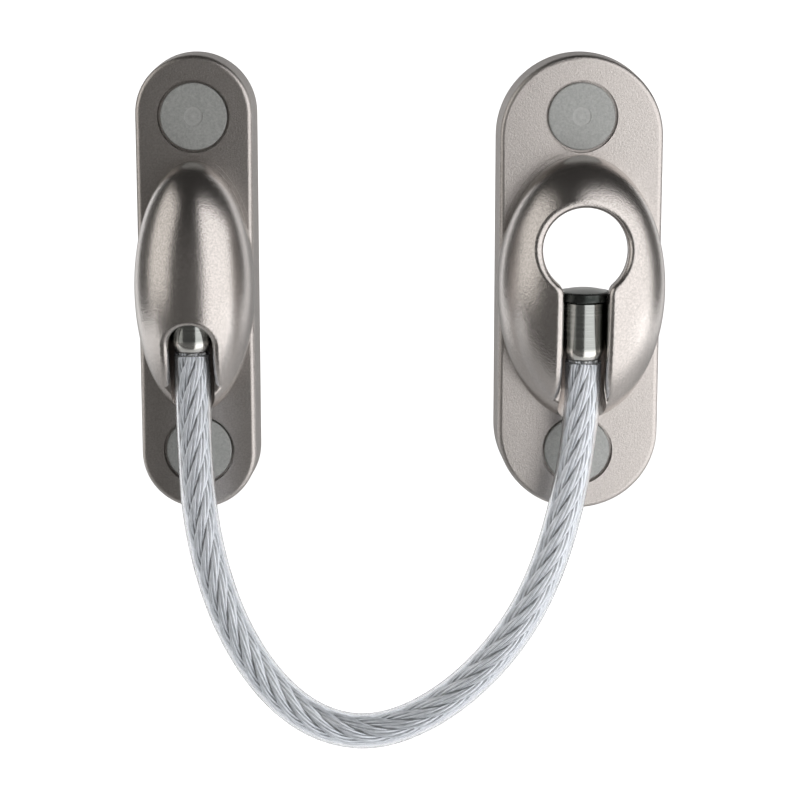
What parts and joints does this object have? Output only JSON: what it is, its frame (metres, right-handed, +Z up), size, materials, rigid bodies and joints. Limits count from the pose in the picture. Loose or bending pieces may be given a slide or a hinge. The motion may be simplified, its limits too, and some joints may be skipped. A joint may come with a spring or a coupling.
{
  "type": "window restrictor cable",
  "caption": "Keyhole-release window restrictor: two satin domed plates with capped screws, joined by a clear-sheathed wire rope.",
  "frame": {"origin": "centre of the catch housing's back, midway between its two screws, on the wall plane", "axes": "+Z up along the plates, +Y into the wall, -Y out to the room, -X towards the fixed housing"},
  "size_m": [0.0824, 0.0327, 0.1092],
  "materials": {
    "satin_nickel": "satin nickel on a fine blasted zinc die casting",
    "cap_plastic": "grey moulded plastic, matt",
    "plated_steel": "polished plated steel",
    "wire_steel": "bright galvanised steel wire",
    "clear_sheath": "clear soft PVC, glossy",
    "screw_steel": "zinc-plated steel"
  },
  "bodies": {
    "catch_base": {"catch_housing": "satin_nickel", "catch_cap_top": "cap_plastic", "catch_cap_bottom": "cap_plastic", "catch_screw_top": "screw_steel", "catch_screw_bottom": "screw_steel"},
    "catch_carrier": {"catch_washer": "plated_steel"},
    "cable_catch_end": {"catch_ferrule": "plated_steel", "cable_sheath": "clear_sheath", "rope_strands": "wire_steel", "rope_core": "wire_steel"},
    "cable_fixed_end": {"fixed_ferrule": "plated_steel"},
    "fixed_base": {"fixed_housing": "satin_nickel", "fixed_cap_top": "cap_plastic", "fixed_cap_bottom": "cap_plastic", "fixed_screw_top": "screw_steel", "fixed_screw_bottom": "screw_steel", "fixed_washer": "plated_steel"}
  },
  "joints": [
    {"name": "catch_lift", "type": "slide", "parent": "catch_base", "child": "catch_carrier", "axis": [0, 0, 1], "range_m": [0, 0.005]},
    {"name": "catch_swivel", "type": "hinge", "parent": "catch_carrier", "child": "cable_catch_end", "pos_m": [0, -0.0146, 0], "axis": [0, 0, 1], "range_deg": [-10, 180]},
    {"name": "cable_flex", "type": "hinge", "parent": "cable_catch_end", "child": "cable_fixed_end", "pos_m": [-0.0338, -0.0146, -0.0692], "axis": [0, 1, 0], "range_deg": [-15, 15], "stiffness_Nm_per_rad": 0.4, "springref_deg": 2.29, "deforming": ["rope_core", "rope_strands", "cable_sheath"]},
    {"name": "fixed_swivel", "type": "hinge", "parent": "cable_fixed_end", "child": "fixed_base", "pos_m": [-0.06, -0.0146, 0], "axis": [0, 0, 1], "range_deg": [-15, 180]}
  ]
}
